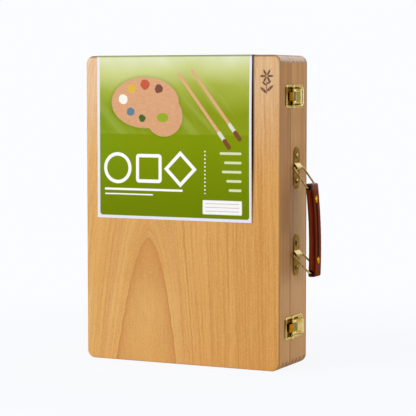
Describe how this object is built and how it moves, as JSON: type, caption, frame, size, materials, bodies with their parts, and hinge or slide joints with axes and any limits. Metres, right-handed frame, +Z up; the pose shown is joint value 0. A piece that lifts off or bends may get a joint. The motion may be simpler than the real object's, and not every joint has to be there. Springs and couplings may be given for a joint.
{
  "type": "artist's sketch box",
  "caption": "Flat wooden artist's box with comb-jointed corners, a piano-hinged lid, two brass draw latches and a leather-gripped swinging handle, standing on a short end.",
  "frame": {"origin": "centre of the lower end face, which the box stands on", "axes": "+Z up along the length, +X towards the latches and handle, +Y from the lid towards the base"},
  "size_m": [0.2911, 0.0868, 0.3753],
  "materials": {
    "beech": "satin lacquer",
    "beech_ply": "sanded plywood",
    "brass": "polished",
    "leather": "waxed",
    "fibre": "raw",
    "card": "coated print"
  },
  "bodies": {
    "base": {"base_wall_latch_side": "beech", "base_wall_hinge_side": "beech", "base_wall_lower_end": "beech", "base_wall_upper_end": "beech", "base_panel": "beech_ply", "divider_long": "beech", "divider_cross_lower": "beech", "divider_cross_upper": "beech", "hinge_leaf_base": "brass", "hinge_pin": "brass", "hinge_screws_base": "brass", "latch_plate_lower": "brass", "latch_plate_upper": "brass", "latch_rivets_lower": "brass", "latch_rivets_upper": "brass", "latch_plate_screws": "brass", "handle_plate_lower": "brass", "handle_plate_upper": "brass", "handle_screws": "brass"},
    "lid": {"lid_wall_latch_side": "beech", "lid_wall_hinge_side": "beech", "lid_wall_lower_end": "beech", "lid_wall_upper_end": "beech", "lid_panel": "beech_ply", "lid_batten_lower": "beech", "lid_batten_upper": "beech", "palette": "beech_ply", "hinge_leaf_lid": "brass", "hinge_screws_lid": "brass", "latch_strike_lower": "brass", "latch_strike_upper": "brass", "strike_screws": "brass", "label_card": "card"},
    "panel_bar": {"panel_bar": "beech"},
    "lever_lower": {"latch_lever_lower": "brass", "hasp_pin_lower": "brass"},
    "hasp_lower": {"latch_hasp_lower": "brass"},
    "lever_upper": {"latch_lever_upper": "brass", "hasp_pin_upper": "brass"},
    "hasp_upper": {"latch_hasp_upper": "brass"},
    "bail_upper": {"bail_upper": "brass"},
    "bail_lower": {"bail_lower": "brass"},
    "grip": {"grip_leather": "leather", "grip_core": "fibre", "grip_studs": "brass"}
  },
  "joints": [
    {"name": "lid_hinge", "type": "hinge", "parent": "base", "child": "lid", "pos_m": [-0.1274, -0.009, 0.1875], "axis": [0, 0, -1], "range_deg": [0, 105]},
    {"name": "panel_bar_lift", "type": "slide", "parent": "lid", "child": "panel_bar", "axis": [0, 1, 0], "range_m": [0, 0.008]},
    {"name": "lever_lower_turn", "type": "hinge", "parent": "base", "child": "lever_lower", "pos_m": [0.1323, -0.0056, 0.049], "axis": [0, 0, -1], "range_deg": [-11, 94]},
    {"name": "hasp_lower_turn", "type": "hinge", "parent": "lever_lower", "child": "hasp_lower", "pos_m": [0.13364, 0.00127, 0.049], "axis": [0, 0, -1], "range_deg": [-94, 11]},
    {"name": "lever_upper_turn", "type": "hinge", "parent": "base", "child": "lever_upper", "pos_m": [0.1323, -0.0056, 0.326], "axis": [0, 0, -1], "range_deg": [0, 105]},
    {"name": "hasp_upper_turn", "type": "hinge", "parent": "lever_upper", "child": "hasp_upper", "pos_m": [0.1323, 0.0014, 0.326], "axis": [0, 0, -1], "range_deg": [-105, 0]},
    {"name": "handle_swing", "type": "hinge", "parent": "base", "child": "bail_upper", "pos_m": [0.1328, 0.008, 0.241], "axis": [0, -1, 0], "range_deg": [-22, 118]},
    {"name": "bail_lower_swing", "type": "hinge", "parent": "base", "child": "bail_lower", "pos_m": [0.1328, 0.008, 0.1357], "axis": [0, -1, 0], "range_deg": [-22, 118]},
    {"name": "grip_turn", "type": "hinge", "parent": "bail_upper", "child": "grip", "pos_m": [0.15051, 0.008, 0.21716], "axis": [0, -1, 0], "range_deg": [-123, 23]}
  ],
  "couplings": [
    {"joint": "hasp_lower_turn", "follows": "lever_lower_turn", "ratio": -1},
    {"joint": "hasp_upper_turn", "follows": "lever_upper_turn", "ratio": -1},
    {"joint": "bail_lower_swing", "follows": "handle_swing", "ratio": 1},
    {"joint": "grip_turn", "follows": "handle_swing", "ratio": -1.04}
  ]
}
